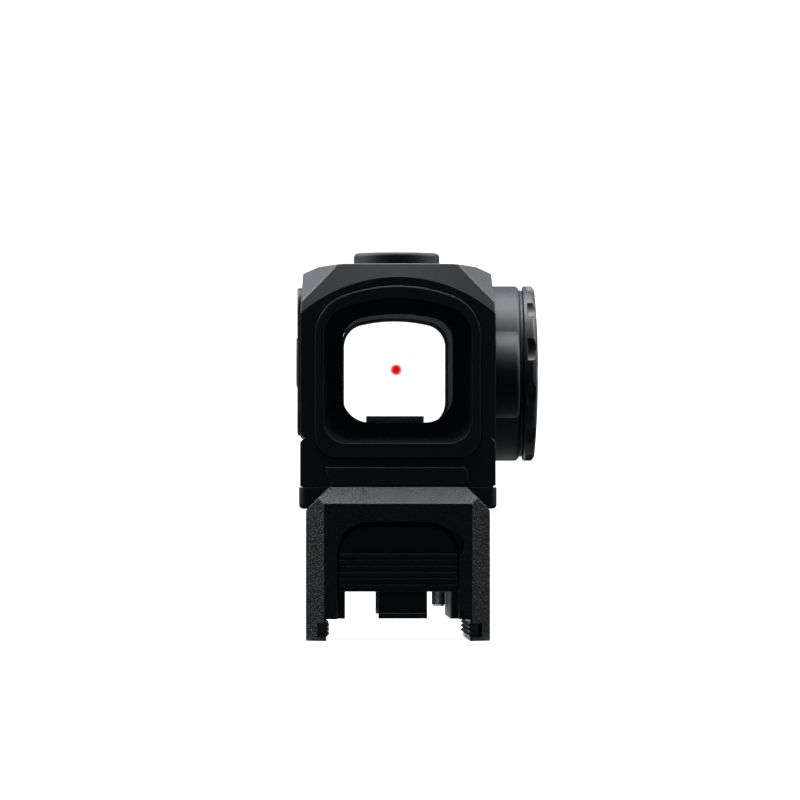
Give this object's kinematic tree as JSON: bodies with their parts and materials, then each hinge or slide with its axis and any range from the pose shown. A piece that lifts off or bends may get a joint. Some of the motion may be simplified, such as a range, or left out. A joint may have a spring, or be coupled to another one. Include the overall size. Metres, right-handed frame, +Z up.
{
  "type": "red dot finder",
  "caption": "Enclosed red dot finder with a hooded square window, top and side adjusting dials, a coin cell cap and a quick-release rail foot.",
  "frame": {"origin": "middle of the foot's seat, the flat roof of the rail channel that rests on the rail", "axes": "+Y along the line of sight towards the target, +Z up away from the rail, +X to the right seen from the eye end (battery cap side)"},
  "size_m": [0.0344, 0.0503, 0.054],
  "materials": {
    "anodised": "matte black hard anodised, bead blasted",
    "carrier_black": "flat black",
    "coated_glass": "clear with a faint green coating",
    "seal_rubber": "soft matte",
    "key_rubber": "matte moulded",
    "black_steel": "black oxide",
    "bright_steel": "machined",
    "spring_steel": "drawn wire",
    "cell_steel": "nickel plated",
    "contact_brass": "plated",
    "board_green": "solder mask",
    "switch_metal": "thin formed sheet",
    "chip_plastic": "moulded",
    "emitter_red": "clear red resin"
  },
  "bodies": {
    "sight": {"housing": "anodised", "rear_bezel": "anodised", "rear_window": "coated_glass", "rear_window_seal": "seal_rubber", "front_window": "coated_glass", "front_window_seal": "seal_rubber", "front_bezel": "anodised", "lift_spring": "spring_steel", "side_spring": "spring_steel", "dial_snap_rings": "spring_steel", "click_balls": "bright_steel", "click_springs": "spring_steel", "battery_spring": "contact_brass", "battery": "cell_steel", "keypad_gasket": "seal_rubber", "button_plate": "anodised", "keypad_screws": "black_steel", "circuit_board": "board_green", "dome_switches": "switch_metal", "board_chips": "chip_plastic", "base_gasket": "seal_rubber", "adapter_plate": "anodised", "sight_screws": "black_steel", "plate_screws": "black_steel", "locating_pegs": "bright_steel", "riser_block": "anodised", "latch_springs": "spring_steel", "latch_pin": "black_steel", "front_hook": "black_steel", "hook_screw": "black_steel", "index_pin": "bright_steel", "fixed_gib": "bright_steel", "fixed_gib_screws": "black_steel"},
    "gimbal": {"pivot_ring": "spring_steel"},
    "carrier": {"optics_carrier": "carrier_black", "reflector_lens": "coated_glass", "lens_retainer": "carrier_black", "emitter_block": "carrier_black", "emitter": "emitter_red"},
    "elevation_knob": {"elevation_dial": "anodised", "elevation_seal": "seal_rubber"},
    "elevation_pin": {"elevation_plunger": "bright_steel"},
    "windage_knob": {"windage_dial": "anodised", "windage_seal": "seal_rubber"},
    "windage_pin": {"windage_plunger": "bright_steel"},
    "contact_disc": {"cap_contact": "contact_brass"},
    "cap": {"battery_cap": "anodised", "battery_cap_seal": "seal_rubber"},
    "up_key": {"up_button": "key_rubber"},
    "down_key": {"down_button": "key_rubber"},
    "latch_slider": {"latch": "anodised"},
    "gib_slider": {"moving_gib": "bright_steel"},
    "rear_clamp_screw": {"rear_gib_screw": "black_steel"},
    "front_clamp_screw": {"front_gib_screw": "black_steel"}
  },
  "joints": [
    {"name": "elevation_turn", "type": "hinge", "parent": "sight", "child": "elevation_knob", "pos_m": [0, -0.0058, 0.0453], "axis": [0, 0, 1], "range_deg": [-361, 361]},
    {"name": "elevation_travel", "type": "slide", "parent": "sight", "child": "elevation_pin", "axis": [0, 0, 1], "range_m": [-0.00025, 0.00025]},
    {"name": "elevation_tilt", "type": "hinge", "parent": "sight", "child": "gimbal", "pos_m": [0, 0.02025, 0.0309], "axis": [1, 0, 0], "range_deg": [-0.55, 0.55], "deforming": ["lift_spring"]},
    {"name": "windage_turn", "type": "hinge", "parent": "sight", "child": "windage_knob", "pos_m": [0.0135, -0.0058, 0.0302], "axis": [1, 0, 0], "range_deg": [-361, 361]},
    {"name": "windage_travel", "type": "slide", "parent": "sight", "child": "windage_pin", "axis": [1, 0, 0], "range_m": [-0.00025, 0.00025]},
    {"name": "windage_tilt", "type": "hinge", "parent": "gimbal", "child": "carrier", "pos_m": [0, 0.02025, 0.0309], "axis": [0, 0, 1], "range_deg": [-0.55, 0.55], "deforming": ["side_spring"]},
    {"name": "cap_lift", "type": "slide", "parent": "sight", "child": "contact_disc", "axis": [1, 0, 0], "range_m": [0, 0.0015]},
    {"name": "cap_turn", "type": "hinge", "parent": "contact_disc", "child": "cap", "pos_m": [0.0191, 0.01295, 0.0307], "axis": [1, 0, 0], "range_deg": [0, 721]},
    {"name": "up_press", "type": "slide", "parent": "sight", "child": "up_key", "axis": [1, 0, 0], "range_m": [0, 0.0005], "stiffness_N_per_m": 800, "springref_m": -0.0008},
    {"name": "down_press", "type": "slide", "parent": "sight", "child": "down_key", "axis": [1, 0, 0], "range_m": [0, 0.0005], "stiffness_N_per_m": 800, "springref_m": -0.0008},
    {"name": "latch_press", "type": "slide", "parent": "sight", "child": "latch_slider", "axis": [0, 1, 0], "range_m": [0, 0.002], "stiffness_N_per_m": 1500, "springref_m": -0.002, "deforming": ["latch_springs"]},
    {"name": "gib_travel", "type": "slide", "parent": "sight", "child": "gib_slider", "axis": [1, 0, 0], "range_m": [0, 0.0004]},
    {"name": "rear_gib_turn", "type": "hinge", "parent": "gib_slider", "child": "rear_clamp_screw", "pos_m": [0.0118, -0.012, -0.0053], "axis": [1, 0, 0], "range_deg": [0, 361]},
    {"name": "front_gib_turn", "type": "hinge", "parent": "gib_slider", "child": "front_clamp_screw", "pos_m": [0.0118, 0.012, -0.0053], "axis": [1, 0, 0], "range_deg": [0, 361]}
  ],
  "couplings": [
    {"joint": "elevation_turn", "follows": "elevation_travel", "rad_per_m": 25133},
    {"joint": "elevation_tilt", "follows": "elevation_travel", "rad_per_m": -38.388},
    {"joint": "windage_turn", "follows": "windage_travel", "rad_per_m": 25133},
    {"joint": "windage_tilt", "follows": "windage_travel", "rad_per_m": 38.388},
    {"joint": "cap_turn", "follows": "cap_lift", "rad_per_m": 8377.6},
    {"joint": "rear_gib_turn", "follows": "gib_travel", "rad_per_m": 15708},
    {"joint": "front_gib_turn", "follows": "gib_travel", "rad_per_m": 15708}
  ]
}
